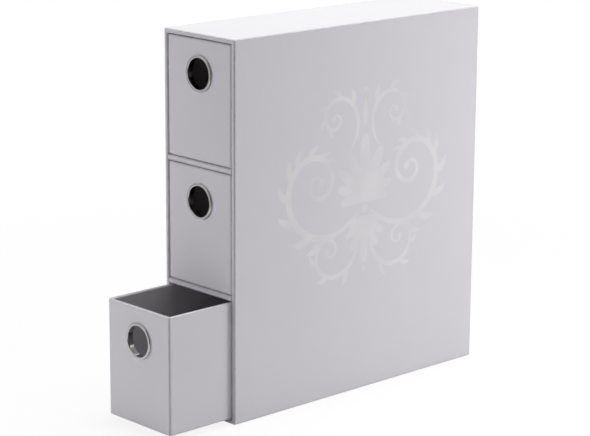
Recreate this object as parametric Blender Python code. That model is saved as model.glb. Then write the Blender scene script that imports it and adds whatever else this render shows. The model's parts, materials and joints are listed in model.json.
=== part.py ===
"""A tall card storage box: a paper-covered board case with three long drawers behind one another's fronts.

The box is made the way a box maker makes it. Greyboard walls are mitred at the corners, covering paper is
folded round them and turned in over their edges, and dark paper lines the drawers. Each drawer is pulled by
a metal eyelet clinched through its front. Everything is worked out from the pocket that a row of sleeved
cards needs, outwards through the layers of paper, glue and board.

The frame's origin is the middle of the case's underside. +Z is up, and the drawers open towards -Y.
"""

import math

import bmesh
import bpy
from mathutils import Matrix

# Pocket for one row of sleeved cards, measured between the linings
POCKET_WIDTH = 0.0691
POCKET_HEIGHT = 0.0943
POCKET_LENGTH = 0.2674

# Sheet stock
COVER_PAPER = 0.0003
LINING_PAPER = 0.0003
CASE_BOARD = 0.0030
SHELF_BOARD = 0.0037
DRAWER_BOARD = 0.0020

# Glue line between glued or clinched faces
GLUE = 0.0001

# Outside radius of the covering paper where it folds round a board
FOLD_RADIUS = 0.0009

# How far the covering paper is turned in past an edge
CASE_FRONT_TURN_IN = 0.016
CASE_BACK_TURN_IN = 0.018
DRAWER_TOP_TURN_IN = 0.011
DRAWER_UNDER_TURN_IN = 0.012

# Pasted sheets stay back from the edges that they lie near
BACK_SHEET_INSET = 0.0025
BASE_SHEET_INSET = 0.0020
FLOOR_SHEET_INSET = 0.0015
LINING_SETBACK = 0.0010

# Room for a drawer to run in its compartment
RUN_BELOW = 0.0003
RUN_ABOVE = 0.0006
RUN_BESIDE = 0.0006
RUN_BEHIND = 0.0020
FRONT_RECESS = 0.0004

# Eyelet that a finger pulls the drawer by
EYELET_BORE_RADIUS = 0.0125
EYELET_DOME_RADIUS = 0.00125
EYELET_CURL_RADIUS = 0.0008
EYELET_METAL = 0.0004
EYELET_TOP_MARGIN = 0.0125
EYELET_HOLE_CLEARANCE = 0.0003
WASHER_METAL = 0.0004
WASHER_MARGIN = 0.0004

# How far the bottom drawer stands open
BOTTOM_DRAWER_PULL = 0.064

# Cutters run this far past what they cut
OVERRUN = 0.002

FOLD_STEPS = 2
ROUND_STEPS = 48
DOME_STEPS = 8
CURL_STEPS = 5
MERGE_DISTANCE = 1e-7

# Layers of a drawer's wall, from the outside in
BOARD_DEPTH = COVER_PAPER + GLUE
DRAWER_TURN_DEPTH = BOARD_DEPTH + DRAWER_BOARD + GLUE + COVER_PAPER
LINING_DEPTH = DRAWER_TURN_DEPTH + GLUE
DRAWER_WALL = LINING_DEPTH + LINING_PAPER

# Layers of a drawer's floor, from the underside up
COVER_UNDERSIDE = COVER_PAPER + GLUE
FLOOR_BOARD_UNDERSIDE = COVER_UNDERSIDE + COVER_PAPER + GLUE
LINING_UNDERSIDE = FLOOR_BOARD_UNDERSIDE + DRAWER_BOARD + GLUE
DRAWER_FLOOR = LINING_UNDERSIDE + LINING_PAPER

DRAWER_WIDTH = POCKET_WIDTH + 2 * DRAWER_WALL
DRAWER_LENGTH = POCKET_LENGTH + 2 * DRAWER_WALL
DRAWER_HEIGHT = POCKET_HEIGHT + DRAWER_FLOOR

# The case follows from its drawers
CASE_WALL = BOARD_DEPTH + CASE_BOARD + GLUE + COVER_PAPER
SHELF = SHELF_BOARD + 2 * BOARD_DEPTH
COMPARTMENT_WIDTH = DRAWER_WIDTH + 2 * RUN_BESIDE
COMPARTMENT_HEIGHT = RUN_BELOW + DRAWER_HEIGHT + RUN_ABOVE
COMPARTMENT_DEPTH = FRONT_RECESS + DRAWER_LENGTH + RUN_BEHIND
DRAWER_NAMES = ("bottom", "middle", "top")
SHELF_NAMES = ("lower", "upper")
CASE_WIDTH = COMPARTMENT_WIDTH + 2 * CASE_WALL
CASE_HEIGHT = (
    COVER_UNDERSIDE
    + 2 * CASE_WALL
    + len(DRAWER_NAMES) * COMPARTMENT_HEIGHT
    + len(SHELF_NAMES) * SHELF
)
CASE_COVER_LENGTH = COMPARTMENT_DEPTH + CASE_BOARD + BOARD_DEPTH
CASE_DEPTH = CASE_COVER_LENGTH + GLUE + COVER_PAPER
CASE_FRONT = -CASE_DEPTH / 2

EYELET_FLANGE_RADIUS = EYELET_BORE_RADIUS + 2 * EYELET_DOME_RADIUS
EYELET_CENTRE_HEIGHT = DRAWER_HEIGHT - EYELET_TOP_MARGIN - EYELET_FLANGE_RADIUS
EYELET_BARREL_RADIUS = EYELET_BORE_RADIUS + EYELET_METAL
EYELET_HOLE_RADIUS = EYELET_BARREL_RADIUS + EYELET_HOLE_CLEARANCE


def material(name, colour, roughness, metallic=0.0):
    """A Principled material with a plain colour."""
    made = bpy.data.materials.new(name)
    made.use_nodes = True
    shader = made.node_tree.nodes["Principled BSDF"]
    shader.inputs["Base Color"].default_value = (*colour, 1.0)
    shader.inputs["Roughness"].default_value = roughness
    shader.inputs["Metallic"].default_value = metallic
    made.diffuse_color = (*colour, 1.0)
    return made


def add_object(name, bm, finish, parent=None):
    """Finishes a bmesh as a named object with its faces pointing out."""
    bmesh.ops.remove_doubles(bm, verts=bm.verts, dist=MERGE_DISTANCE)
    bmesh.ops.recalc_face_normals(bm, faces=bm.faces)
    mesh = bpy.data.meshes.new(name)
    bm.to_mesh(mesh)
    bm.free()
    mesh.shade_smooth()
    mesh.set_sharp_from_angle(angle=math.radians(35))
    mesh.materials.append(finish)
    made = bpy.data.objects.new(name, mesh)
    made.parent = parent
    bpy.context.scene.collection.objects.link(made)
    return made


def slab(low, high):
    """A plain rectangular slab between two corners."""
    bm = bmesh.new()
    size = [b - a for a, b in zip(low, high)]
    middle = [(a + b) / 2 for a, b in zip(low, high)]
    bmesh.ops.create_cube(bm, size=1)
    bmesh.ops.scale(bm, vec=size, verts=bm.verts)
    bmesh.ops.translate(bm, vec=middle, verts=bm.verts)
    return bm


def folded_sheet(corners, thickness, radius):
    """Outline of a sheet folded at right angles, always to the same side.

    The corners are those of its outer surface. Each fold is an arc whose centre serves both surfaces.
    """
    ways = []
    for (x0, y0), (x1, y1) in zip(corners, corners[1:]):
        run = math.hypot(x1 - x0, y1 - y0)
        ways.append(((x1 - x0) / run, (y1 - y0) / run))
    outer = [corners[0]]
    inner = [tuple(c + n * thickness for c, n in zip(corners[0], ways[1]))]
    for corner, into, out_of in zip(corners[1:-1], ways, ways[1:]):
        centre = [c - a * radius + b * radius for c, a, b in zip(corner, into, out_of)]
        for step in range(FOLD_STEPS + 1):
            turn = math.pi / 2 * step / FOLD_STEPS
            spoke = [a * math.sin(turn) - b * math.cos(turn) for a, b in zip(into, out_of)]
            outer.append(tuple(c + s * radius for c, s in zip(centre, spoke)))
            inner.append(tuple(c + s * (radius - thickness) for c, s in zip(centre, spoke)))
    outer.append(corners[-1])
    inner.append(tuple(c - n * thickness for c, n in zip(corners[-1], ways[-2])))
    return outer + inner[::-1]


def board_section(low, high, radius, round_corners):
    """Outline of a board's section. The named corners, as signs such as (-1, 1), are rounded."""
    outline = []
    for sx, sy, first in ((-1, -1, math.pi), (1, -1, -math.pi / 2), (1, 1, 0), (-1, 1, math.pi / 2)):
        x = high[0] if sx > 0 else low[0]
        y = high[1] if sy > 0 else low[1]
        if (sx, sy) not in round_corners:
            outline.append((x, y))
            continue
        for step in range(FOLD_STEPS + 1):
            turn = first + math.pi / 2 * step / FOLD_STEPS
            cx = x - sx * radius
            cy = y - sy * radius
            outline.append((cx + radius * math.cos(turn), cy + radius * math.sin(turn)))
    return outline


def corner_point(half_sizes, middle, signs, depth, turn, radius, shorten=(0, 0)):
    """A point on a rounded rectangle, at a depth inside its outer line, at one corner and turn."""
    left_over = max(radius - depth, 0)
    place = []
    for axis, spoke in enumerate((math.cos(turn), math.sin(turn))):
        edge = half_sizes[axis] - max(radius, depth) - shorten[axis]
        place.append(middle[axis] + signs[axis] * edge + left_over * spoke)
    return place


CORNERS = ((1, 1), (-1, 1), (-1, -1), (1, -1))


def carried_round(outline, half_sizes, middle, side=None):
    """A section, given as (depth, height) points, carried round a rectangle with rounded corners.

    Without a side it runs all the way round. A side from 0 to 3 gives only that wall, mitred at both ends
    and shortened by the glue line: 0 is the +v wall, 1 the -u wall, 2 the -v wall and 3 the +u wall.
    """
    bm = bmesh.new()
    stations = []
    if side is None:
        for quarter in range(4):
            for step in range(FOLD_STEPS + 1):
                stations.append((quarter, math.pi / 2 * (quarter + step / FOLD_STEPS)))
        shorten = (0, 0)
    else:
        half = FOLD_STEPS // 2
        for quarter, steps in ((side, range(half, FOLD_STEPS + 1)), ((side + 1) % 4, range(half + 1))):
            for step in steps:
                stations.append((quarter, math.pi / 2 * (quarter + step / FOLD_STEPS)))
        shorten = (GLUE, 0) if side % 2 == 0 else (0, GLUE)
    rows = []
    for quarter, turn in stations:
        row = []
        for depth, height in outline:
            signs = CORNERS[quarter]
            u, v = corner_point(half_sizes, middle, signs, depth, turn, FOLD_RADIUS, shorten)
            row.append(bm.verts.new((u, v, height)))
        rows.append(row)
    pairs = list(zip(rows, rows[1:]))
    if side is None:
        pairs.append((rows[-1], rows[0]))
    for row, after in pairs:
        for i in range(len(outline)):
            j = (i + 1) % len(outline)
            bm.faces.new((row[i], row[j], after[j], after[i]))
    if side is not None:
        bm.faces.new(rows[0])
        bm.faces.new(rows[-1])
    return bm


def turned_back(bm):
    """Turns a shape carried round in u, v and height so that v is Z and height is Y, from the case's front."""
    bm.transform(Matrix(((1, 0, 0, 0), (0, 0, 1, CASE_FRONT), (0, 1, 0, 0), (0, 0, 0, 1))))
    return bm


def build_case(cover_finish, board_finish):
    """The fixed case: covering paper, four mitred walls, back, and the sheets pasted over its turn-ins."""
    half_sizes = (CASE_WIDTH / 2, (CASE_HEIGHT - COVER_UNDERSIDE) / 2)
    middle = (0, (CASE_HEIGHT + COVER_UNDERSIDE) / 2)

    cover = folded_sheet(
        (
            (CASE_WALL, CASE_FRONT_TURN_IN),
            (CASE_WALL, 0),
            (0, 0),
            (0, CASE_COVER_LENGTH),
            (CASE_BACK_TURN_IN, CASE_COVER_LENGTH),
        ),
        COVER_PAPER,
        FOLD_RADIUS,
    )
    add_object("outer_cover", turned_back(carried_round(cover, half_sizes, middle)), cover_finish)

    wall = board_section(
        (BOARD_DEPTH, BOARD_DEPTH),
        (BOARD_DEPTH + CASE_BOARD, CASE_COVER_LENGTH - BOARD_DEPTH),
        FOLD_RADIUS - BOARD_DEPTH,
        ((-1, -1), (1, -1), (-1, 1)),
    )
    for side, name in enumerate(("top_board", "left_side_board", "bottom_board", "right_side_board")):
        add_object(name, turned_back(carried_round(wall, half_sizes, middle, side)), board_finish)

    back_edge = BOARD_DEPTH + CASE_BOARD + GLUE
    back_front = CASE_FRONT + COMPARTMENT_DEPTH
    back = slab(
        (-CASE_WIDTH / 2 + back_edge, back_front, COVER_UNDERSIDE + back_edge),
        (CASE_WIDTH / 2 - back_edge, back_front + CASE_BOARD, CASE_HEIGHT - back_edge),
    )
    add_object("back_board", back, board_finish)

    sheet_front = CASE_FRONT + CASE_COVER_LENGTH + GLUE
    back_sheet = slab(
        (-CASE_WIDTH / 2 + BACK_SHEET_INSET, sheet_front, COVER_UNDERSIDE + BACK_SHEET_INSET),
        (CASE_WIDTH / 2 - BACK_SHEET_INSET, sheet_front + COVER_PAPER, CASE_HEIGHT - BACK_SHEET_INSET),
    )
    add_object("back_sheet", back_sheet, cover_finish)

    base_sheet = slab(
        (-CASE_WIDTH / 2 + BASE_SHEET_INSET, CASE_FRONT + BASE_SHEET_INSET, 0),
        (CASE_WIDTH / 2 - BASE_SHEET_INSET, -CASE_FRONT - BASE_SHEET_INSET, COVER_PAPER),
    )
    add_object("base_sheet", base_sheet, cover_finish)


def compartment_floor(level):
    """Height of the surface that the drawer at this level runs on."""
    return COVER_UNDERSIDE + CASE_WALL + level * (COMPARTMENT_HEIGHT + SHELF)


def extruded_along_x(outline, half_width, base_height):
    """A (distance from the case's front, height) outline extruded across the case's width."""
    bm = bmesh.new()
    points = [(-half_width, CASE_FRONT + y, base_height + z) for y, z in outline]
    face = bm.faces.new([bm.verts.new(point) for point in points])
    grown = bmesh.ops.extrude_face_region(bm, geom=[face])["geom"]
    moved = [part for part in grown if isinstance(part, bmesh.types.BMVert)]
    bmesh.ops.translate(bm, vec=(2 * half_width, 0, 0), verts=moved)
    return bm


def build_shelf(name, level, cover_finish, board_finish):
    """One shelf: a board glued between the sides, with paper folded round its front edge."""
    half_width = COMPARTMENT_WIDTH / 2 - GLUE
    underside = compartment_floor(level) - SHELF
    rear = COMPARTMENT_DEPTH - GLUE
    board = board_section(
        (BOARD_DEPTH, BOARD_DEPTH),
        (rear, SHELF - BOARD_DEPTH),
        FOLD_RADIUS - BOARD_DEPTH,
        ((-1, -1), (-1, 1)),
    )
    add_object(f"{name}_shelf_board", extruded_along_x(board, half_width, underside), board_finish)
    cover = folded_sheet(((rear, SHELF), (0, SHELF), (0, 0), (rear, 0)), COVER_PAPER, FOLD_RADIUS)
    add_object(f"{name}_shelf_cover", extruded_along_x(cover, half_width, underside), cover_finish)


def lining_tray():
    """The dark paper inside a drawer: four walls and a floor, open at the top."""
    top = DRAWER_HEIGHT - LINING_SETBACK
    bm = slab(
        (-DRAWER_WIDTH / 2 + LINING_DEPTH, LINING_DEPTH, LINING_UNDERSIDE),
        (DRAWER_WIDTH / 2 - LINING_DEPTH, DRAWER_LENGTH - LINING_DEPTH, top),
    )
    mouth = max(bm.faces, key=lambda face: face.calc_center_median().z)
    bmesh.ops.inset_region(bm, faces=[mouth], thickness=LINING_PAPER, use_even_offset=True)
    sunk = bmesh.ops.extrude_discrete_faces(bm, faces=[mouth])["faces"][0]
    bmesh.ops.translate(bm, vec=(0, 0, DRAWER_FLOOR - top), verts=sunk.verts)
    return bm


def revolved(outline):
    """A closed (radius, distance ahead of the drawer's front) outline turned about the eyelet's axis."""
    bm = bmesh.new()
    ring = [bm.verts.new((radius, -ahead, 0)) for radius, ahead in outline]
    edges = [bm.edges.new(pair) for pair in zip(ring, ring[1:] + ring[:1])]
    bmesh.ops.spin(
        bm,
        geom=ring + edges,
        axis=(0, 1, 0),
        cent=(0, 0, 0),
        angle=2 * math.pi,
        steps=ROUND_STEPS,
        use_merge=True,
    )
    bmesh.ops.translate(bm, vec=(0, 0, EYELET_CENTRE_HEIGHT), verts=bm.verts)
    return bm


def eyelet_ring():
    """The eyelet itself: a domed flange in front, a barrel through the wall and a curl behind the washer."""
    dome_middle = EYELET_BORE_RADIUS + EYELET_DOME_RADIUS
    curl_middle = EYELET_BORE_RADIUS + EYELET_CURL_RADIUS
    curl_start = -(DRAWER_WALL + GLUE + WASHER_METAL + GLUE)

    def shell(dome_radius, curl_radius):
        line = []
        for step in range(DOME_STEPS + 1):
            turn = math.pi * step / DOME_STEPS
            line.append((dome_middle + dome_radius * math.cos(turn), GLUE + dome_radius * math.sin(turn)))
        for step in range(CURL_STEPS + 1):
            turn = math.pi * (1 + step / CURL_STEPS)
            line.append((curl_middle + curl_radius * math.cos(turn), curl_start + curl_radius * math.sin(turn)))
        return line

    outside = shell(EYELET_DOME_RADIUS, EYELET_CURL_RADIUS)
    inside = shell(EYELET_DOME_RADIUS - EYELET_METAL, EYELET_CURL_RADIUS - EYELET_METAL)
    return revolved(outside + inside[::-1])


def eyelet_washer():
    """The flat ring behind the drawer's front that the eyelet is curled over."""
    inner = EYELET_BARREL_RADIUS + GLUE
    outer = EYELET_FLANGE_RADIUS + WASHER_MARGIN
    near = -(DRAWER_WALL + GLUE)
    far = near - WASHER_METAL
    return revolved([(inner, near), (outer, near), (outer, far), (inner, far)])


def finger_hole_cutter(name, parent):
    """A hidden round cutter that bores the drawer's front for its eyelet."""
    bm = bmesh.new()
    bmesh.ops.create_cone(
        bm,
        cap_ends=True,
        segments=ROUND_STEPS,
        radius1=EYELET_HOLE_RADIUS,
        radius2=EYELET_HOLE_RADIUS,
        depth=DRAWER_WALL + 2 * OVERRUN,
        matrix=Matrix.Rotation(math.pi / 2, 4, "X"),
    )
    bmesh.ops.translate(bm, vec=(0, DRAWER_WALL / 2, EYELET_CENTRE_HEIGHT), verts=bm.verts)
    mesh = bpy.data.meshes.new(name)
    bm.to_mesh(mesh)
    bm.free()
    cutter = bpy.data.objects.new(name, mesh)
    cutter.parent = parent
    cutter.hide_render = True
    cutter.display_type = "WIRE"
    bpy.context.scene.collection.objects.link(cutter)
    return cutter


def bore(piece, cutter):
    """Bores a piece with the finger hole."""
    cut = piece.modifiers.new("finger_hole", "BOOLEAN")
    cut.operation = "DIFFERENCE"
    cut.object = cutter


def build_drawer(name, level, pull, finishes):
    """One drawer, parented to an empty that slides along Y."""
    cover_finish, board_finish, lining_finish, metal_finish = finishes
    slide = bpy.data.objects.new(f"{name}_drawer_slide", None)
    slide.location = (0, CASE_FRONT + FRONT_RECESS - pull, compartment_floor(level) + RUN_BELOW)
    bpy.context.scene.collection.objects.link(slide)
    cutter = finger_hole_cutter(f"{name}_finger_hole_cutter", slide)
    half_sizes = (DRAWER_WIDTH / 2, DRAWER_LENGTH / 2)
    middle = (0, DRAWER_LENGTH / 2)

    cover = folded_sheet(
        (
            (DRAWER_TURN_DEPTH, DRAWER_HEIGHT - DRAWER_TOP_TURN_IN),
            (DRAWER_TURN_DEPTH, DRAWER_HEIGHT),
            (0, DRAWER_HEIGHT),
            (0, COVER_UNDERSIDE),
            (DRAWER_UNDER_TURN_IN, COVER_UNDERSIDE),
        ),
        COVER_PAPER,
        FOLD_RADIUS,
    )
    cover_piece = add_object(
        f"{name}_drawer_cover", carried_round(cover, half_sizes, middle), cover_finish, slide
    )
    bore(cover_piece, cutter)

    wall = board_section(
        (BOARD_DEPTH, FLOOR_BOARD_UNDERSIDE),
        (BOARD_DEPTH + DRAWER_BOARD, DRAWER_HEIGHT - BOARD_DEPTH),
        FOLD_RADIUS - BOARD_DEPTH,
        ((-1, -1), (1, 1), (-1, 1)),
    )
    for side, place in enumerate(("back", "left", "front", "right")):
        wall_piece = add_object(
            f"{name}_drawer_{place}_board", carried_round(wall, half_sizes, middle, side), board_finish, slide
        )
        if place == "front":
            bore(wall_piece, cutter)

    floor_edge = BOARD_DEPTH + DRAWER_BOARD + GLUE
    floor_board = slab(
        (-DRAWER_WIDTH / 2 + floor_edge, floor_edge, FLOOR_BOARD_UNDERSIDE),
        (DRAWER_WIDTH / 2 - floor_edge, DRAWER_LENGTH - floor_edge, FLOOR_BOARD_UNDERSIDE + DRAWER_BOARD),
    )
    add_object(f"{name}_drawer_floor_board", floor_board, board_finish, slide)

    floor_sheet = slab(
        (-DRAWER_WIDTH / 2 + FLOOR_SHEET_INSET, FLOOR_SHEET_INSET, 0),
        (DRAWER_WIDTH / 2 - FLOOR_SHEET_INSET, DRAWER_LENGTH - FLOOR_SHEET_INSET, COVER_PAPER),
    )
    add_object(f"{name}_drawer_floor_sheet", floor_sheet, cover_finish, slide)

    lining = add_object(f"{name}_drawer_lining", lining_tray(), lining_finish, slide)
    bore(lining, cutter)

    add_object(f"{name}_eyelet_ring", eyelet_ring(), metal_finish, slide)
    add_object(f"{name}_eyelet_washer", eyelet_washer(), metal_finish, slide)


def main():
    for old in list(bpy.data.objects):
        bpy.data.objects.remove(old)
    cover_finish = material("covering_paper", (0.80, 0.775, 0.825), 0.65)
    board_finish = material("greyboard", (0.42, 0.40, 0.37), 0.9)
    lining_finish = material("lining_paper", (0.60, 0.585, 0.595), 0.8)
    metal_finish = material("nickel_plate", (0.54, 0.535, 0.51), 0.1, 1.0)

    build_case(cover_finish, board_finish)
    for level, name in enumerate(SHELF_NAMES, start=1):
        build_shelf(name, level, cover_finish, board_finish)
    finishes = (cover_finish, board_finish, lining_finish, metal_finish)
    for level, name in enumerate(DRAWER_NAMES):
        pull = BOTTOM_DRAWER_PULL if level == 0 else 0
        build_drawer(name, level, pull, finishes)


main()
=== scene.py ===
"""The looks of a card drawer box: a tall board case in white paper, and three drawers with metal eyelets.

The sections follow the box as it is put together: the boards, the paper folded round the case, the sheets
pasted over its turned-in edges, the shelves, the drawers with their lining, the eyelets clinched through
their fronts, and last the ornament varnished on the side. The studio that the box stands in comes first.
Lengths are in metres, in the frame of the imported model: +Z is up and the drawers open towards -Y.
"""

import json
import math

import bmesh
import bpy
import numpy as np
from mathutils import Matrix, Vector


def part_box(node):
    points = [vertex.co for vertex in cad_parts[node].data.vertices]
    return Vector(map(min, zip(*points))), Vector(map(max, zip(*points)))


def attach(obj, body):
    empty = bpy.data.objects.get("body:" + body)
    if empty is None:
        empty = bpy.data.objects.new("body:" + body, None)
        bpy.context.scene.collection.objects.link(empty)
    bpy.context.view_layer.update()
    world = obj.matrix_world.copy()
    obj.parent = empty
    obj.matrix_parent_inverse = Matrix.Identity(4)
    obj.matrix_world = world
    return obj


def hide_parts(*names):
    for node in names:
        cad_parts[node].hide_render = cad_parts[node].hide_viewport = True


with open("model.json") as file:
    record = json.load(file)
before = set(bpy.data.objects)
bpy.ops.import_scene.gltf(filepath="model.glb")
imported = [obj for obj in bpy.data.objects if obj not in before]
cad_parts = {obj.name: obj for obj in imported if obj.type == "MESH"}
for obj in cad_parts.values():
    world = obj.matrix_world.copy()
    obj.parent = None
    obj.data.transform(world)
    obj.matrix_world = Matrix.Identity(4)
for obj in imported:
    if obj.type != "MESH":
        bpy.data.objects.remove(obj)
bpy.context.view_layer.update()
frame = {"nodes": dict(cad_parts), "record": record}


# Camera. It stands to the right of the box and looks down a little, at the distance and with the lens that
# the photograph's straight edges give.
CAMERA_PLACE = (1.24132, -1.20547, 0.56793)
CAMERA_YAW = math.radians(46.69)
CAMERA_PITCH = math.radians(13.87)
CAMERA_ROLL = math.radians(0.35)
CAMERA_LENS_MM = 128.88
CAMERA_SENSOR_MM = 36

camera = bpy.data.objects.new("camera", bpy.data.cameras.new("camera"))
camera.data.lens = CAMERA_LENS_MM
camera.data.sensor_width = CAMERA_SENSOR_MM
camera.matrix_world = (
    Matrix.Translation(CAMERA_PLACE)
    @ Matrix.Rotation(CAMERA_YAW, 4, "Z")
    @ Matrix.Rotation(math.pi / 2 - CAMERA_PITCH, 4, "X")
    @ Matrix.Rotation(CAMERA_ROLL, 4, "Z")
)
bpy.context.scene.collection.objects.link(camera)
bpy.context.scene.camera = camera
bpy.context.scene.view_settings.view_transform = "Standard"


# Studio. One soft lamp hangs above, one stands at the left in front and one at the right behind, so that the
# fold between two lit faces stays darker than both. The room round the box is white, and so is its floor,
# which shows a faint shadow near the box.
LAMPS = {
    # name: (place, width, height, power in watts, colour)
    "lamp_above": ((0.15, 0.25, 2.6), 1.1, 1.1, 60.5, (1.0, 1.03, 0.97)),
    "lamp_at_left": ((-1.3, -1.1, 0.2), 0.8, 0.4, 12.5, (1.0, 1.0, 1.0)),
    "lamp_behind": ((0.72, 0.64, 0.34), 0.4, 0.25, 4.0, (1.0, 1.0, 1.0)),
}
LAMP_TARGET = (0.0, 0.0, 0.15)
WHITE = (1.0, 1.0, 1.0, 1.0)
ROOM_LIGHT = 0.08
FLOOR_WIDTH = 12.0
FLOOR_BOUNCE = (0.60, 0.60, 0.60, 1.0)
FLOOR_WHITE = (0.86, 0.86, 0.87, 1.0)
SHADOW_SHARE = 0.12
SHADOW_NEAR = 0.25
SHADOW_FAR = 0.8

for name, (place, width, height, power, colour) in LAMPS.items():
    lamp = bpy.data.lights.new(name, "AREA")
    lamp.shape = "RECTANGLE"
    lamp.size = width
    lamp.size_y = height
    lamp.energy = power
    lamp.color = colour
    holder = bpy.data.objects.new(name, lamp)
    aim = (Vector(LAMP_TARGET) - Vector(place)).to_track_quat("-Z", "Y")
    holder.matrix_world = Matrix.Translation(place) @ aim.to_matrix().to_4x4()
    holder.visible_glossy = False
    bpy.context.scene.collection.objects.link(holder)


def add_node(tree, kind, settings=None, wires=None):
    """A new node. A wire is the value or other node's output that the input of its name or number takes."""
    made = tree.nodes.new(kind)
    for name, value in (settings or {}).items():
        setattr(made, name, value)
    for name, value in (wires or {}).items():
        if isinstance(value, bpy.types.NodeSocket):
            tree.links.new(value, made.inputs[name])
        else:
            made.inputs[name].default_value = value
    return made


def white_to_eye(tree):
    """One for a ray that is seen, mirrored or passed through, and nothing for light on its way to a face."""
    ray = add_node(tree, "ShaderNodeLightPath").outputs
    larger = {"operation": "MAXIMUM"}
    bounced = {0: ray["Is Glossy Ray"], 1: ray["Is Transmission Ray"]}
    either = add_node(tree, "ShaderNodeMath", larger, bounced).outputs[0]
    return add_node(tree, "ShaderNodeMath", larger, {0: ray["Is Camera Ray"], 1: either}).outputs[0]


room = bpy.data.worlds.new("white_room")
room.use_nodes = True
room.node_tree.nodes.clear()
bpy.context.scene.world = room
tree = room.node_tree
room_light = add_node(tree, "ShaderNodeBackground", wires={"Color": WHITE, "Strength": ROOM_LIGHT})
room_white = add_node(tree, "ShaderNodeBackground", wires={"Color": WHITE, "Strength": 1.0})
room_mix = add_node(
    tree,
    "ShaderNodeMixShader",
    wires={"Fac": white_to_eye(tree), 1: room_light.outputs[0], 2: room_white.outputs[0]},
)
add_node(tree, "ShaderNodeOutputWorld", wires={"Surface": room_mix.outputs[0]})

corner = FLOOR_WIDTH / 2
floor_mesh = bpy.data.meshes.new("floor")
floor_corners = [(-corner, -corner, 0), (corner, -corner, 0), (corner, corner, 0), (-corner, corner, 0)]
floor_mesh.from_pydata(floor_corners, [], [(0, 1, 2, 3)])
floor = bpy.data.objects.new("floor", floor_mesh)
bpy.context.scene.collection.objects.link(floor)
floor_finish = bpy.data.materials.new("white_floor")
floor_finish.use_nodes = True
floor_finish.node_tree.nodes.clear()
floor_mesh.materials.append(floor_finish)
tree = floor_finish.node_tree
spot = add_node(tree, "ShaderNodeTexCoord").outputs["Object"]
reach = add_node(tree, "ShaderNodeVectorMath", {"operation": "LENGTH"}, {0: spot})
shadow = add_node(
    tree,
    "ShaderNodeMapRange",
    {"interpolation_type": "SMOOTHSTEP"},
    {
        "Value": reach.outputs["Value"],
        "From Min": SHADOW_NEAR,
        "From Max": SHADOW_FAR,
        "To Min": SHADOW_SHARE,
        "To Max": 0.0,
    },
)
bounce = add_node(tree, "ShaderNodeBsdfDiffuse", wires={"Color": FLOOR_BOUNCE})
lit = add_node(tree, "ShaderNodeBsdfDiffuse", wires={"Color": FLOOR_WHITE})
glow = add_node(tree, "ShaderNodeEmission", wires={"Color": WHITE, "Strength": 1.0})
shown = add_node(
    tree,
    "ShaderNodeMixShader",
    wires={"Fac": shadow.outputs["Result"], 1: glow.outputs[0], 2: lit.outputs[0]},
)
floor_mix = add_node(
    tree,
    "ShaderNodeMixShader",
    wires={"Fac": white_to_eye(tree), 1: bounce.outputs[0], 2: shown.outputs[0]},
)
add_node(tree, "ShaderNodeOutputMaterial", wires={"Surface": floor_mix.outputs[0]})


# Studio boards. A dark one at the camera's side and a grey one at the left in front stand on the floor in an
# arc. Only reflections show them: they give the polished rims dark lines between the white of the room.
STUDIO_BOARDS = {
    # name: (from and to azimuth in degrees, distance, height, grey)
    "dark_board": (-75, 20, 0.5, 1.1, 0.02),
    "grey_board": (-160, -105, 0.7, 0.45, 0.60),
}
BOARD_STEPS = 13

for name, (start, end, distance, height, grey) in STUDIO_BOARDS.items():
    turn = np.radians(np.linspace(start, end, BOARD_STEPS))
    foot = distance * np.stack((np.cos(turn), np.sin(turn), np.zeros_like(turn)), axis=-1)
    edge = np.arange(BOARD_STEPS - 1)
    panels = np.stack((edge, edge + 1, edge + 1 + BOARD_STEPS, edge + BOARD_STEPS), axis=-1)
    mesh = bpy.data.meshes.new(name)
    mesh.from_pydata(np.concatenate((foot, foot + (0, 0, height))).tolist(), [], panels.tolist())
    board = bpy.data.objects.new(name, mesh)
    bpy.context.scene.collection.objects.link(board)
    board.visible_camera = False
    board.visible_diffuse = False
    board.visible_shadow = False
    finish = bpy.data.materials.new(name)
    finish.use_nodes = True
    finish.node_tree.nodes.clear()
    mesh.materials.append(finish)
    tree = finish.node_tree
    shade = add_node(tree, "ShaderNodeEmission", wires={"Color": (grey, grey, grey, 1), "Strength": 1.0})
    add_node(tree, "ShaderNodeOutputMaterial", wires={"Surface": shade.outputs[0]})


# Boards. The case, the shelves and the drawers are cut from dense grey board, and glued at their mitred
# corners. Paper hides most of it, and the bare board shows inside the compartments, behind the paper's edges.
BOARD_GREY = (0.42, 0.40, 0.37, 1.0)
BOARD_DARK = (0.31, 0.295, 0.27, 1.0)
BOARD_FIBRE = 0.0007
BOARD_MOTTLE = 0.018
BOARD_RELIEF = 0.00006
BOARD_ROUGH = (0.86, 0.97)
BOARD_CLOUDS = 0.6
BOARD_FLECKS = 0.7
TOOTH_DETAIL = 3.0
MOTTLE_DETAIL = 2.0
FLECK_DETAIL = 1.0
FLECK_WANDER = 0.6
FLECK_STRETCH = (1.0, 0.16, 1.0)
FLECK_START = 0.60
FLECK_FULL = 0.74


def new_group(name, inputs, outputs):
    """An empty shader group with the given numbers as inputs and outputs."""
    group = bpy.data.node_groups.new(name, "ShaderNodeTree")
    for label, value in inputs.items():
        socket = group.interface.new_socket(label, in_out="INPUT", socket_type="NodeSocketFloat")
        socket.default_value = value
    for label in outputs:
        group.interface.new_socket(label, in_out="OUTPUT", socket_type="NodeSocketFloat")
    return group, group.nodes.new("NodeGroupInput").outputs, group.nodes.new("NodeGroupOutput").inputs


def noise(tree, place, size, detail, wander=0.0):
    """Cloudy noise around 0.5 over a place, with patches of a size in metres."""
    scale = add_node(tree, "ShaderNodeMath", {"operation": "DIVIDE"}, {0: 1.0, 1: size}).outputs[0]
    wires = {"Vector": place, "Scale": scale, "Detail": detail, "Distortion": wander}
    return add_node(tree, "ShaderNodeTexNoise", wires=wires).outputs[0]


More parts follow.
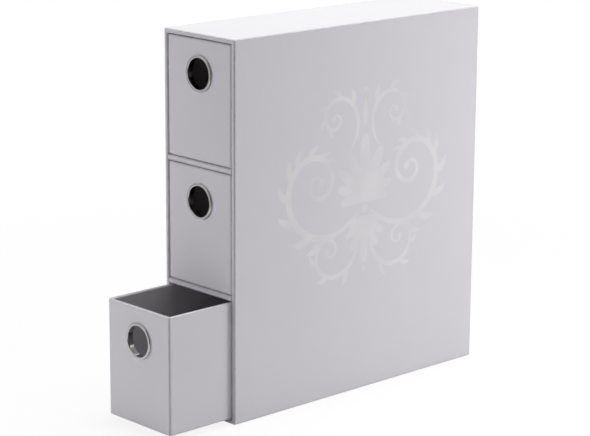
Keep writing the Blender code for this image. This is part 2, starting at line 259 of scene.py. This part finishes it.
def ranged(tree, value, low, high, start=0.0, end=1.0):
    """A number from low to high as the value goes from its start to its end."""
    wires = {"Value": value, "From Min": start, "From Max": end, "To Min": low, "To Max": high}
    return add_node(tree, "ShaderNodeMapRange", wires=wires).outputs[0]


def fibre_group():
    """The felted surface that paper and board share: Tooth is its fine grain, Mottle the cloudy formation of
    the sheet, and Fleck the sparse longer fibres that lie in it. Sizes are in metres."""
    sizes = {"Fibre Size": BOARD_FIBRE, "Mottle Size": BOARD_MOTTLE}
    group, given, taken = new_group("felted_fibres", sizes, ("Tooth", "Mottle", "Fleck"))
    place = add_node(group, "ShaderNodeTexCoord").outputs["Object"]
    lying = add_node(group, "ShaderNodeMapping", {"vector_type": "POINT"}, {0: place, "Scale": FLECK_STRETCH})
    tooth = noise(group, place, given["Fibre Size"], TOOTH_DETAIL)
    mottle = noise(group, place, given["Mottle Size"], MOTTLE_DETAIL)
    strand = noise(group, lying.outputs[0], given["Fibre Size"], FLECK_DETAIL, FLECK_WANDER)
    group.links.new(tooth, taken["Tooth"])
    group.links.new(mottle, taken["Mottle"])
    group.links.new(ranged(group, strand, 0.0, 1.0, FLECK_START, FLECK_FULL), taken["Fleck"])
    return group


FIBRES = fibre_group()


def new_finish(name):
    """A material with a Principled shader, its node tree and the shader's inputs."""
    finish = bpy.data.materials.new(name)
    finish.use_nodes = True
    return finish, finish.node_tree, finish.node_tree.nodes["Principled BSDF"].inputs


def felted(tree, fibre_size, mottle_size):
    """The felted surface at a sheet's own scale."""
    sizes = {"Fibre Size": fibre_size, "Mottle Size": mottle_size}
    return add_node(tree, "ShaderNodeGroup", {"node_tree": FIBRES}, sizes).outputs


def blended(tree, share, low, high):
    """A colour from low to high, by a share from 0 to 1. The node has them as inputs 6 and 7 and output 2."""
    return add_node(tree, "ShaderNodeMix", {"data_type": "RGBA"}, {0: share, 6: low, 7: high}).outputs[2]


def raised(tree, height, relief):
    """A bumped normal, where the height runs from 0 to 1 over the relief in metres."""
    return add_node(tree, "ShaderNodeBump", wires={"Height": height, "Distance": relief}).outputs[0]


greyboard, tree, shader = new_finish("greyboard")
fibres = felted(tree, BOARD_FIBRE, BOARD_MOTTLE)
cloudy = blended(tree, ranged(tree, fibres["Mottle"], 0.0, BOARD_CLOUDS), BOARD_GREY, BOARD_DARK)
flecked = blended(tree, ranged(tree, fibres["Fleck"], 0.0, BOARD_FLECKS), cloudy, BOARD_DARK)
tree.links.new(flecked, shader["Base Color"])
tree.links.new(ranged(tree, fibres["Tooth"], *BOARD_ROUGH), shader["Roughness"])
tree.links.new(raised(tree, fibres["Tooth"], BOARD_RELIEF), shader["Normal"])

slots = {part["node"]: part["material_slot"] for part in frame["record"]["subparts"]}
for node, piece in frame["nodes"].items():
    if slots[node] == "greyboard":
        piece.data.materials.clear()
        piece.data.materials.append(greyboard)


# Covering of the case. One sheet of white coated paper is glued round the four walls, folded over their front
# edges into the compartments, and round the back, where its edges lie flat. Folds are rounded by the board,
# and painted shade greys them in patches, for the dark line where a rounded fold turns away from the lamps.
PAPER_WHITE = (0.80, 0.772, 0.832, 1.0)
PAPER_CLOUD = (0.775, 0.747, 0.806, 1.0)
PAPER_FOLD_SHADE = (0.50, 0.485, 0.505, 1.0)
PAPER_FIBRE = 0.0005
PAPER_MOTTLE = 0.035
PAPER_RELIEF = 0.000018
PAPER_ROUGH = (0.60, 0.70)
PAPER_SHEEN = 0.3
PAPER_FOLD_SHADING = 0.75
WEAR_AND_SHADE_PATCH = 0.004
WEAR_AND_SHADE_DETAIL = 4.0
PAPER_SHEET = 0.0003
GLUE_LINE = 0.0001
CASE_FRONT_TURN_IN = 0.016
CASE_BACK_TURN_IN = 0.018
CASE_FOLD = 0.0012
VARNISH_ROOM = 0.00005
SHARPEST_FOLD = 0.0001
FOLD_STEPS = 8
FOLD_GUARD = 0.0003
CORNER_SIGNS = ((1, 1), (-1, 1), (-1, -1), (1, -1))
CORNER_TURNS = np.arange(4) * math.pi / 2
SHARP_EDGE = math.radians(35)


def fold_wear_and_shade_group():
    """The piece's own "fold" value, up to 1 on its folds, in patches: painted shade on the covering, wear on
    the lining.
    """
    group, given, taken = new_group("fold_wear_and_shade", {"Patch Size": WEAR_AND_SHADE_PATCH}, ("Wear And Shade",))
    place = add_node(group, "ShaderNodeTexCoord").outputs["Object"]
    fold = add_node(group, "ShaderNodeAttribute", {"attribute_name": "fold"}).outputs["Fac"]
    patch = noise(group, place, given["Patch Size"], WEAR_AND_SHADE_DETAIL)
    wear_and_shade = add_node(group, "ShaderNodeMath", {"operation": "MULTIPLY"}, {0: fold, 1: patch})
    group.links.new(wear_and_shade.outputs[0], taken["Wear And Shade"])
    return group


FOLD_WEAR_AND_SHADE = fold_wear_and_shade_group()


def worn_and_shaded_folds(tree, patch_size):
    """The folds' painted shade and wear at a sheet's own scale."""
    return add_node(tree, "ShaderNodeGroup", {"node_tree": FOLD_WEAR_AND_SHADE}, {"Patch Size": patch_size}).outputs["Wear And Shade"]


covering_paper, tree, shader = new_finish("covering_paper")
shader["Specular IOR Level"].default_value = PAPER_SHEEN
fibres = felted(tree, PAPER_FIBRE, PAPER_MOTTLE)
wear_and_shade = worn_and_shaded_folds(tree, WEAR_AND_SHADE_PATCH)
clouded = blended(tree, fibres["Mottle"], PAPER_WHITE, PAPER_CLOUD)
# Painted shade: the folds are darkened in patches towards a grey, for the shade along rounded folds.
worn_and_shaded = blended(tree, ranged(tree, wear_and_shade, 0.0, PAPER_FOLD_SHADING), clouded, PAPER_FOLD_SHADE)
tree.links.new(worn_and_shaded, shader["Base Color"])
tree.links.new(ranged(tree, fibres["Mottle"], *PAPER_ROUGH), shader["Roughness"])
tree.links.new(raised(tree, fibres["Tooth"], PAPER_RELIEF), shader["Normal"])


def folded_sheet(corners, thickness, radius):
    """Closed section of a sheet folded at right angles, always to the same side, and 1 or 0 for fold or flat.

    Each fold is centre + r (into sin t - out cos t) for t from 0 to a quarter turn, where into and out are
    the ways before and after the corner. r is the radius outside, and the radius less the thickness inside.
    A guard point before and after each fold keeps the flat stretches flat in shading.
    """
    corners = np.array(corners)
    ways = np.diff(corners, axis=0)
    ways = ways / np.linalg.norm(ways, axis=1, keepdims=True)
    into = ways[:-1, None]
    out = ways[1:, None]
    turn = np.linspace(0, math.pi / 2, FOLD_STEPS + 1)[None, :, None]
    centres = corners[1:-1, None] + (out - into) * radius

    def surface(r):
        arcs = centres + r * (into * np.sin(turn) - out * np.cos(turn))
        before = centres - out * r - into * FOLD_GUARD
        after = centres + into * r + out * FOLD_GUARD
        first = corners[0] + ways[1] * (radius - r)
        last = corners[-1] - ways[-2] * (radius - r)
        folds = np.concatenate((before, arcs, after), axis=1).reshape(-1, 2)
        return np.concatenate((first[None], folds, last[None]))

    per_fold = np.concatenate(([0.0], np.ones(FOLD_STEPS + 1), [0.0]))
    flags = np.concatenate(([0.0], np.tile(per_fold, len(corners) - 2), [0.0]))
    outline = np.concatenate((surface(radius), surface(radius - thickness)[::-1]))
    return outline, np.concatenate((flags, flags[::-1]))


def carried_round(section, flags, half, middle, radius):
    """A (depth, height) section carried round a rectangle with rounded corners: a grid of (u, v, height).

    At turn a of the corner with signs s, the point at depth d is middle + s (half - d - r) + r (cos a, sin a),
    where r is the radius less d, or the sharpest fold if that is more. A guard station before and after each
    corner keeps the flat stretches flat in shading.
    """
    step = np.linspace(0, math.pi / 2, FOLD_STEPS + 1)
    stations = np.concatenate((step[:1], step, step[-1:]))
    guards = np.concatenate(([-FOLD_GUARD], np.zeros(FOLD_STEPS + 1), [FOLD_GUARD]))
    turn = (CORNER_TURNS[:, None] + stations).reshape(-1, 1)
    shift = np.tile(guards, len(CORNER_TURNS))[:, None]
    signs = np.repeat(CORNER_SIGNS, len(stations), axis=0)
    depth = section[None, :, 0]
    r = np.maximum(radius - depth, SHARPEST_FOLD)
    u = middle[0] + signs[:, :1] * (half[0] - depth - r) + r * np.cos(turn) - shift * np.sin(turn)
    v = middle[1] + signs[:, 1:] * (half[1] - depth - r) + r * np.sin(turn) + shift * np.cos(turn)
    height = np.broadcast_to(section[None, :, 1], u.shape)
    on_corner = np.where(shift == 0, 1.0, 0.0)
    return np.stack((u, v, height), axis=-1), np.maximum(on_corner, flags[None, :])


def grid_quads(rows, columns, around):
    """The faces between neighbours in a grid of points whose columns close on themselves. The rows close on
    themselves too if around is true."""
    row = np.arange(rows if around else rows - 1)[:, None]
    column = np.arange(columns)[None, :]
    next_row = (row + 1) % rows
    next_column = (column + 1) % columns
    corners = (
        row * columns + column,
        row * columns + next_column,
        next_row * columns + next_column,
        next_row * columns + column,
    )
    return np.stack(np.broadcast_arrays(*corners), axis=-1).reshape(-1, 4)


def grid_piece(name, points, fold=None, around=True):
    """A piece whose faces join neighbours in a grid of points, as grid_quads does. If the rows don't close on
    themselves, the first and the last are closed by one face each."""
    rows, columns = points.shape[:2]
    quads = grid_quads(rows, columns, around)
    flat = points.reshape(-1, 3)
    a, b, c, d = (flat[quads[:, k]] for k in range(4))
    volume = np.einsum("ij,ij->", np.cross(a, b), c) + np.einsum("ij,ij->", np.cross(a, c), d)
    faces = quads.tolist()
    if not around:
        ends = (np.arange(columns)[::-1], (rows - 1) * columns + np.arange(columns))
        faces = faces + [end.tolist() for end in ends]
    if volume < 0:
        faces = [face[::-1] for face in faces]
    mesh = bpy.data.meshes.new(name)
    mesh.from_pydata(flat.tolist(), [], faces)
    if fold is not None:
        values = mesh.attributes.new("fold", "FLOAT", "POINT").data
        values.foreach_set("value", fold.ravel().astype(np.float32))
    mesh.shade_smooth()
    mesh.set_sharp_from_angle(angle=SHARP_EDGE)
    piece = bpy.data.objects.new(name, mesh)
    bpy.context.scene.collection.objects.link(piece)
    return piece


case_low, case_high = (np.array(corner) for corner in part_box("outer_cover"))
board_low, board_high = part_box("left_side_board")
CASE_WALL = board_high.x - board_low.x + 2 * (PAPER_SHEET + GLUE_LINE)
case_depth = case_high[1] - case_low[1]
section, flags = folded_sheet(
    (
        (CASE_WALL, CASE_FRONT_TURN_IN),
        (CASE_WALL, 0),
        (0, 0),
        (0, case_depth),
        (CASE_BACK_TURN_IN, case_depth),
    ),
    PAPER_SHEET,
    CASE_FOLD,
)
case_half = (case_high - case_low)[[0, 2]] / 2 - (VARNISH_ROOM, 0)
case_middle = (case_high + case_low)[[0, 2]] / 2
ring, fold = carried_round(section, flags, case_half, case_middle, CASE_FOLD)
case_paper = grid_piece("case_covering", ring[:, :, [0, 2, 1]] + (0, case_low[1], 0), fold)
case_paper.data.materials.append(covering_paper)
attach(case_paper, "case")
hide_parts("outer_cover")


# Pasted sheets. One covers the turned-in edges at the back and one underneath, each cut a little smaller than
# the face. The drawers have one under their floors. They are of the covering's own paper, and keep the packed
# model's shapes.
for node, piece in frame["nodes"].items():
    if slots[node] == "covering_paper":
        piece.data.materials.clear()
        piece.data.materials.append(covering_paper)


# Shelves. Each is a board glued between the sides, with the covering's paper folded round its front edge, so
# that a white edge stands between two drawers.
def extruded_across(section, left, right):
    """A (distance back, height) section repeated at both ends of a width: a grid of two rows of points."""
    back, height = section.T
    return np.stack([np.stack((np.full_like(back, x), back, height), axis=-1) for x in (left, right)])


for name in ("lower", "upper"):
    low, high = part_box(f"{name}_shelf_cover")
    section, flags = folded_sheet(
        ((high.y, high.z), (low.y, high.z), (low.y, low.z), (high.y, low.z)), PAPER_SHEET, CASE_FOLD
    )
    # The fold values give the shelf's front folds the covering's painted shade.
    fold = np.stack((flags, flags))
    sheet = extruded_across(section, low.x, high.x)
    shelf_paper = grid_piece(f"{name}_shelf_covering", sheet, fold, around=False)
    shelf_paper.data.materials.append(covering_paper)
    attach(shelf_paper, "case")
    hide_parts(f"{name}_shelf_cover")


# Covering of the drawers. Each drawer's paper runs round its four walls, over their top edges into the
# drawer, and under the floor. The finger hole is punched through paper and board together. The folds get
# less painted shade than the case's.
DRAWERS = ("bottom", "middle", "top")
DRAWER_TOP_TURN_IN = 0.011
DRAWER_UNDER_TURN_IN = 0.012
DRAWER_FOLD = 0.0013
DRAWER_CORNER = 0.0015
DRAWER_FOLD_SHADE = 0.6
EYELET_DOME = 0.00125
EYELET_METAL = 0.0004
HOLE_MARGIN = 0.0003
HOLE_SIDES = 160
PUNCH_OVERRUN = 0.002


def eyelet_place(name):
    """The middle of a drawer's finger hole, in the plane of its front, and the radius of its metal bore."""
    ring_low, ring_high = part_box(f"{name}_eyelet_ring")
    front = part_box(f"{name}_drawer_cover")[0].y
    centre = Vector(((ring_low.x + ring_high.x) / 2, front, (ring_low.z + ring_high.z) / 2))
    return centre, (ring_high.x - ring_low.x) / 2 - 2 * EYELET_DOME


def punched(piece, name, back):
    """Punches a drawer's finger hole through a piece, from before the front to a given distance behind it."""
    centre, bore = eyelet_place(name)
    radius = bore + EYELET_METAL + HOLE_MARGIN
    bm = bmesh.new()
    bmesh.ops.create_cone(
        bm,
        cap_ends=True,
        segments=HOLE_SIDES,
        radius1=radius,
        radius2=radius,
        depth=2 * back,
        matrix=Matrix.Translation(centre) @ Matrix.Rotation(math.pi / 2, 4, "X"),
    )
    mesh = bpy.data.meshes.new("punch")
    bm.to_mesh(mesh)
    bm.free()
    punch = bpy.data.objects.new("punch", mesh)
    bpy.context.scene.collection.objects.link(punch)
    cut = piece.modifiers.new("punch", "BOOLEAN")
    cut.operation = "DIFFERENCE"
    cut.object = punch
    bpy.context.view_layer.update()
    cut_piece = piece.evaluated_get(bpy.context.evaluated_depsgraph_get())
    holed = bpy.data.meshes.new_from_object(cut_piece)
    piece.modifiers.clear()
    piece.data = holed
    bpy.data.objects.remove(punch)
    holed.set_sharp_from_angle(angle=SHARP_EDGE)


for name in DRAWERS:
    low, high = (np.array(corner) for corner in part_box(f"{name}_drawer_cover"))
    board_low, board_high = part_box(f"{name}_drawer_left_board")
    turn_depth = board_high.x - board_low.x + 2 * (PAPER_SHEET + GLUE_LINE)
    section, flags = folded_sheet(
        (
            (turn_depth, high[2] - DRAWER_TOP_TURN_IN),
            (turn_depth, high[2]),
            (0, high[2]),
            (0, low[2]),
            (DRAWER_UNDER_TURN_IN, low[2]),
        ),
        PAPER_SHEET,
        DRAWER_FOLD,
    )
    half = (high - low)[:2] / 2
    middle = (high + low)[:2] / 2
    ring, fold = carried_round(section, flags, half, middle, DRAWER_CORNER)
    # The drawers' fold values are scaled down, so their folds get less painted shade than the case's.
    drawer_paper = grid_piece(f"{name}_drawer_covering", ring, fold * DRAWER_FOLD_SHADE)
    drawer_paper.data.materials.append(covering_paper)
    punched(drawer_paper, name, turn_depth + PUNCH_OVERRUN)
    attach(drawer_paper, f"{name}_drawer")
    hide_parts(f"{name}_drawer_cover")


# Lining. Matt pale grey paper covers the inside of each drawer: a strip round the walls, turned in at its
# foot, and a sheet over the floor that holds the foot down. The strip ends a little below the drawer's rim.
LINING_GREY = (0.635, 0.612, 0.645, 1.0)
LINING_PALE = (0.715, 0.69, 0.725, 1.0)
LINING_FIBRE = 0.0006
LINING_MOTTLE = 0.025
LINING_RELIEF = 0.00003
LINING_ROUGH = (0.75, 0.9)
LINING_FLECKS = 0.5
LINING_WEAR = 0.6
LINING_SHEET = 0.00015
LINING_FOOT = 0.010
LINING_FOLD = 0.0008
LINING_CORNER = 0.0012

lining_paper, tree, shader = new_finish("lining_paper")
fibres = felted(tree, LINING_FIBRE, LINING_MOTTLE)
wear_and_shade = worn_and_shaded_folds(tree, WEAR_AND_SHADE_PATCH)
flecked = blended(tree, ranged(tree, fibres["Fleck"], 0.0, LINING_FLECKS), LINING_GREY, LINING_PALE)
worn_and_shaded = blended(tree, ranged(tree, wear_and_shade, 0.0, LINING_WEAR), flecked, LINING_PALE)
tree.links.new(worn_and_shaded, shader["Base Color"])
tree.links.new(ranged(tree, fibres["Mottle"], *LINING_ROUGH), shader["Roughness"])
tree.links.new(raised(tree, fibres["Tooth"], LINING_RELIEF), shader["Normal"])


def rounded_plate(half, middle, bottom, top, radius):
    """The outlines of a flat sheet's bottom and top. At turn a of the corner with signs s, the outline is
    middle + s (half - radius) + radius (cos a, sin a)."""
    step = np.linspace(0, math.pi / 2, FOLD_STEPS + 1)
    turn = (CORNER_TURNS[:, None] + step).ravel()
    signs = np.repeat(CORNER_SIGNS, len(step), axis=0)
    line = middle + signs * (half - radius) + radius * np.stack((np.cos(turn), np.sin(turn)), axis=-1)
    return np.stack([np.column_stack((line, np.full(len(line), z))) for z in (bottom, top)])


for name in DRAWERS:
    low, high = (np.array(corner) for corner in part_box(f"{name}_drawer_lining"))
    half = (high - low)[:2] / 2
    middle = (high + low)[:2] / 2
    corners = ((0, high[2]), (0, low[2]), (LINING_FOOT, low[2]))
    section, flags = folded_sheet(corners, LINING_SHEET, LINING_FOLD)
    ring, fold = carried_round(section, flags, half, middle, LINING_CORNER)
    strip = grid_piece(f"{name}_drawer_wall_lining", ring, fold)
    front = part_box(f"{name}_drawer_cover")[0].y
    punched(strip, name, low[1] - front + PUNCH_OVERRUN)
    foot_top = low[2] + LINING_SHEET
    plate = rounded_plate(half - LINING_FOLD, middle, foot_top, foot_top + LINING_SHEET, LINING_CORNER)
    sheet = grid_piece(f"{name}_drawer_floor_lining", plate, around=False)
    for piece in (strip, sheet):
        piece.data.materials.clear()
        piece.data.materials.append(lining_paper)
        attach(piece, f"{name}_drawer")
        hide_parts(f"{name}_drawer_lining")


# Eyelets. Each finger hole has a nickel-plated brass eyelet: a domed flange in front, a barrel through paper,
# board and lining, and a curl that is clinched over a flat washer behind the front. Polishing left fine lines
# round it.
NICKEL = (0.505, 0.503, 0.495, 1.0)
NICKEL_DULL = (0.37, 0.368, 0.36, 1.0)
NICKEL_DULLING = 0.7
NICKEL_ROUGH = (0.05, 0.11)
POLISH_LINE = 0.00012
POLISH_BREAK = 0.006
POLISH_RELIEF = 0.000003
POLISH_DETAIL = 2.0
EYELET_SIDES = 160
EYELET_CURL = 0.0008
EYELET_GUARD = 0.0002
DOME_SQUARENESS = 0.72
WASHER_BEVEL = 0.00006

nickel_plate, tree, shader = new_finish("nickel_plate")
shader["Metallic"].default_value = 1.0
along = add_node(tree, "ShaderNodeAttribute", {"attribute_name": "along"}).outputs["Fac"]
line = add_node(tree, "ShaderNodeMath", {"operation": "DIVIDE"}, {0: along, 1: POLISH_LINE})
place = add_node(tree, "ShaderNodeTexCoord").outputs["Object"]
broken = add_node(tree, "ShaderNodeVectorMath", {"operation": "SCALE"}, {0: place, "Scale": 1 / POLISH_BREAK})
across = add_node(tree, "ShaderNodeCombineXYZ", wires={"X": line.outputs[0]})
both = {0: broken.outputs[0], 1: across.outputs[0]}
spread = add_node(tree, "ShaderNodeVectorMath", {"operation": "ADD"}, both)
polish = noise(tree, spread.outputs[0], 1.0, POLISH_DETAIL)
dulled = blended(tree, ranged(tree, polish, 0.0, NICKEL_DULLING), NICKEL, NICKEL_DULL)
tree.links.new(dulled, shader["Base Color"])
tree.links.new(ranged(tree, polish, *NICKEL_ROUGH), shader["Roughness"])
tree.links.new(raised(tree, polish, POLISH_RELIEF), shader["Normal"])


def revolved(name, profile, centre):
    """A closed (radius, distance behind the front) profile turned about the finger hole's axis.

    The point at angle a is centre + (radius cos a, distance, radius sin a). Its "along" value is the length
    of the profile up to it.
    """
    angle = np.linspace(0, 2 * math.pi, EYELET_SIDES, endpoint=False)[:, None]
    radius, back = profile.T
    x = centre.x + radius * np.cos(angle)
    z = centre.z + radius * np.sin(angle)
    y = np.broadcast_to(centre.y + back, x.shape)
    piece = grid_piece(name, np.stack((x, y, z), axis=-1))
    steps = np.linalg.norm(np.diff(profile, axis=0, prepend=profile[:1]), axis=1)
    length = np.broadcast_to(np.cumsum(steps), x.shape).astype(np.float32)
    piece.data.attributes.new("along", "FLOAT", "POINT").data.foreach_set("value", length.ravel())
    piece.data.materials.append(nickel_plate)
    return piece


def eyelet_skin(bore, curl_back, dome, curl):
    """One surface of the eyelet, outside or inside its metal, as (radius, distance behind the front).

    The dome is a half circle, squared off by raising its cosine and its sine to a power. The straight barrel
    follows, and then the curl's half circle.
    """
    over = np.linspace(0, math.pi, 2 * FOLD_STEPS + 1)
    wide = np.sign(np.cos(over)) * np.abs(np.cos(over)) ** DOME_SQUARENESS
    high = np.abs(np.sin(over)) ** DOME_SQUARENESS
    top = np.stack((bore + EYELET_DOME + dome * wide, -GLUE_LINE - dome * high), axis=-1)
    tail = np.stack((bore + EYELET_CURL - curl * np.cos(over), curl_back + curl * np.sin(over)), axis=-1)
    barrel = np.array([(top[-1, 0], EYELET_GUARD), (tail[0, 0], curl_back - EYELET_GUARD)])
    return np.concatenate((top, barrel, tail))


for name in DRAWERS:
    centre, bore = eyelet_place(name)
    washer_low, washer_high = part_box(f"{name}_eyelet_washer")
    near = washer_low.y - centre.y
    far = washer_high.y - centre.y
    outer = (washer_high.x - washer_low.x) / 2
    inner = bore + EYELET_METAL + GLUE_LINE
    outside = eyelet_skin(bore, far + GLUE_LINE, EYELET_DOME, EYELET_CURL)
    inside = eyelet_skin(bore, far + GLUE_LINE, EYELET_DOME - EYELET_METAL, EYELET_CURL - EYELET_METAL)
    ring = revolved(f"{name}_eyelet", np.concatenate((outside, inside[::-1])), centre)
    b = WASHER_BEVEL
    flat_ring = np.array(
        [
            (inner, near + b),
            (inner + b, near),
            (outer - b, near),
            (outer, near + b),
            (outer, far - b),
            (outer - b, far),
            (inner + b, far),
            (inner, far - b),
        ]
    )
    washer = revolved(f"{name}_eyelet_back_washer", flat_ring, centre)
    for piece, node in ((ring, f"{name}_eyelet_ring"), (washer, f"{name}_eyelet_washer")):
        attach(piece, f"{name}_drawer")
        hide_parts(node)


# Ornament. A symmetrical spray of petals and scrolls is printed on the case's right side in clear varnish. It
# makes the paper a little paler and glossier, fades in patches, and stands a few hundredths of a millimetre
# proud. The case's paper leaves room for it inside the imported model's box.
VARNISH_WHITE = (0.86, 0.836, 0.868, 1.0)
VARNISH_THIN = (0.79, 0.765, 0.812, 1.0)
VARNISH_ROUGH = (0.35, 0.45)
VARNISH_FADE = (0.35, 0.65)
VARNISH_RELIEF = 0.000006
VARNISH_HEIGHT = 0.00004
VARNISH_SINK = 0.00002
ORNAMENT_CENTRE = (0.004, 0.180)
STROKE_STEPS = 64
STROKE_SIDES = 10
SAME_POINT = 1e-7
NO_BEND = 1e-6
LEAF_BELLY = 0.75
LEAF_TAPER = 0.65
SCROLL_ROOT = 8
SCROLL_WIDTHS = (1.1, 0.4)
FRINGE_LEAN = 62
FRINGE_BEND = 60

varnish, tree, shader = new_finish("spot_varnish")
fibres = felted(tree, PAPER_FIBRE, PAPER_MOTTLE)
faded = ranged(tree, fibres["Mottle"], 0.0, 1.0, *VARNISH_FADE)
tree.links.new(blended(tree, faded, VARNISH_WHITE, VARNISH_THIN), shader["Base Color"])
tree.links.new(ranged(tree, fibres["Mottle"], *VARNISH_ROUGH), shader["Roughness"])
tree.links.new(raised(tree, fibres["Tooth"], VARNISH_RELIEF), shader["Normal"])

# Along a stroke t runs from 0 to 1. A place in the ornament is a complex number: across plus i times up.
t = np.linspace(0, 1, STROKE_STEPS + 1)


def leaf(base, heading, length, bend, width, belly=LEAF_BELLY):
    """A leaf: an arc from its base that turns by the bend. Its width follows sin(pi t^belly) to a power, so
    that a belly under 1 makes a pointed leaf and one over 1 a round petal."""
    heading = math.radians(heading)
    bend = math.radians(bend) or NO_BEND
    path = base + length * (np.exp(1j * (heading + bend * t)) - np.exp(1j * heading)) / (1j * bend)
    return path, width / 2 * np.sin(math.pi * t**belly) ** (LEAF_TAPER / belly)


def scroll(start, middle, turns, shrink, width):
    """A volute from its start round its middle: middle + (start - middle) e^((2 pi i turns - shrink) t). It
    swells from a point as the square root of t, and then gets evenly narrower."""
    path = middle + (start - middle) * np.exp((2j * math.pi * turns - shrink) * t)
    first, last = SCROLL_WIDTHS
    return path, width / 2 * np.minimum(SCROLL_ROOT * t, 1) ** 0.5 * (first - (first - last) * t)


def fringe(path, first, last, side, longest, shortest, count, width):
    """Leaves along one side of a path, from the first t to the last, that lean off it and bend back."""
    way = np.degrees(np.angle(np.gradient(path)))
    spots = (np.linspace(first, last, count) * STROKE_STEPS).astype(int)
    lengths = np.linspace(longest, shortest, count)
    lean = side * FRINGE_LEAN
    bend = -side * FRINGE_BEND
    return [
        leaf(path[spot], way[spot] + lean, length, bend, width * length / longest)
        for spot, length in zip(spots, lengths)
    ]


def bead(middle, radius):
    """A round drop: a straight stroke whose width is that of a circle."""
    return middle + radius * (2 * t - 1), radius * np.sqrt(1 - (2 * t - 1) ** 2)


MIDDLE_PETALS = (
    # base, heading, length, bend, width, belly; angles in degrees
    (-0.018j, 90, 0.058, 0, 0.0115, 1.7),
    (0.046j, 90, 0.024, 0, 0.0056, LEAF_BELLY),
    (-0.030j, -90, 0.040, 0, 0.0095, 1.6),
)
MIDDLE_BEADS = (
    # middle, radius
    (-0.0240j, 0.0036),
    (0.0768j, 0.0016),
    (-0.0755j, 0.0020),
)
PETAL_FANS = (
    # petals, then base, heading, length, bend, width and belly at the fan's middle, then what each petal
    # further out adds to heading, length, bend and width
    (4, (-0.018j, 90, 0.056, -6, 0.0112, 1.7), (-17, -0.007, -8, -0.0009)),
    (3, (-0.030j, -90, 0.037, 8, 0.0088, 1.6), (21, -0.005, 8, -0.0008)),
)
ARMS = (
    # start, middle, turns, shrink and width of a scroll, and the radius of the bead at its end
    ((0.005 - 0.023j, 0.054 + 0.004j, 1.85, 2.5, 0.0060), 0.0034),
    ((0.019 + 0.026j, 0.034 + 0.055j, -1.6, 2.5, 0.0040), 0.0024),
    ((0.008 - 0.036j, 0.040 - 0.054j, 1.6, 2.5, 0.0040), 0.0024),
)
ARM_FRINGES = (
    # first and last t, side, longest and shortest leaf, leaves and width, in the order of the arms
    (0.08, 0.42, -1, 0.024, 0.012, 9, 0.0074),
    (0.16, 0.50, 1, 0.015, 0.009, 5, 0.0050),
    (0.14, 0.50, -1, 0.015, 0.009, 5, 0.0050),
)

middle_strokes = [leaf(*petal) for petal in MIDDLE_PETALS] + [bead(*drop) for drop in MIDDLE_BEADS]
side_strokes = []
for petals, (base, heading, length, bend, width, belly), (turn, shorter, curl, narrower) in PETAL_FANS:
    for k in range(1, petals + 1):
        size = (length + k * shorter, bend + k * curl, width + k * narrower)
        side_strokes.append(leaf(base, heading + k * turn, *size, belly))
arms = [scroll(*values) for values, _ in ARMS]
side_strokes += arms
side_strokes += [bead(path[-1], radius) for (path, _), (_, radius) in zip(arms, ARMS)]
for (path, _), values in zip(arms, ARM_FRINGES):
    side_strokes += fringe(path, *values)

paths = np.array([path for path, _ in middle_strokes + side_strokes])
widths = np.array([width for _, width in middle_strokes + side_strokes])
mirrored = slice(len(middle_strokes), None)
paths = np.concatenate((paths, -paths[mirrored].conj()))
widths = np.concatenate((widths, widths[mirrored]))


def varnish_strokes(paths, widths):
    """Domed strokes on the case's side: at angle a, path + width cos a across it, raised by height sin a.

    The upper half of each section is domed and its lower half is flat, just inside the paper.
    """
    way = np.gradient(paths, axis=1)
    across = 1j * way / np.abs(way)
    angle = 2 * math.pi * np.arange(STROKE_SIDES) / STROKE_SIDES
    place = paths[:, :, None] + (across * widths)[:, :, None] * np.cos(angle)
    swell = np.sqrt(widths / widths.max())[:, :, None]
    proud = VARNISH_HEIGHT * swell * np.maximum(np.sin(angle), 0) - VARNISH_SINK * (np.sin(angle) < 0)
    return place, proud


place, proud = varnish_strokes(paths, widths)
along_side = ORNAMENT_CENTRE[0] + place.real
up_side = ORNAMENT_CENTRE[1] + place.imag
points = np.stack((case_high[0] - VARNISH_ROOM + proud, along_side, up_side), axis=-1)
stroke_count, rows, columns = place.shape
first_points = np.arange(stroke_count)[:, None, None] * rows * columns
quads = first_points + grid_quads(rows, columns, around=False)
mesh = bpy.data.meshes.new("side_ornament")
mesh.from_pydata(points.reshape(-1, 3).tolist(), [], quads.reshape(-1, 4).tolist())
bm = bmesh.new()
bm.from_mesh(mesh)
bmesh.ops.remove_doubles(bm, verts=bm.verts, dist=SAME_POINT)
bm.to_mesh(mesh)
bm.free()
mesh.shade_smooth()
mesh.set_sharp_from_angle(angle=SHARP_EDGE)
mesh.materials.append(varnish)
ornament = bpy.data.objects.new("side_ornament", mesh)
bpy.context.scene.collection.objects.link(ornament)
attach(ornament, "case")
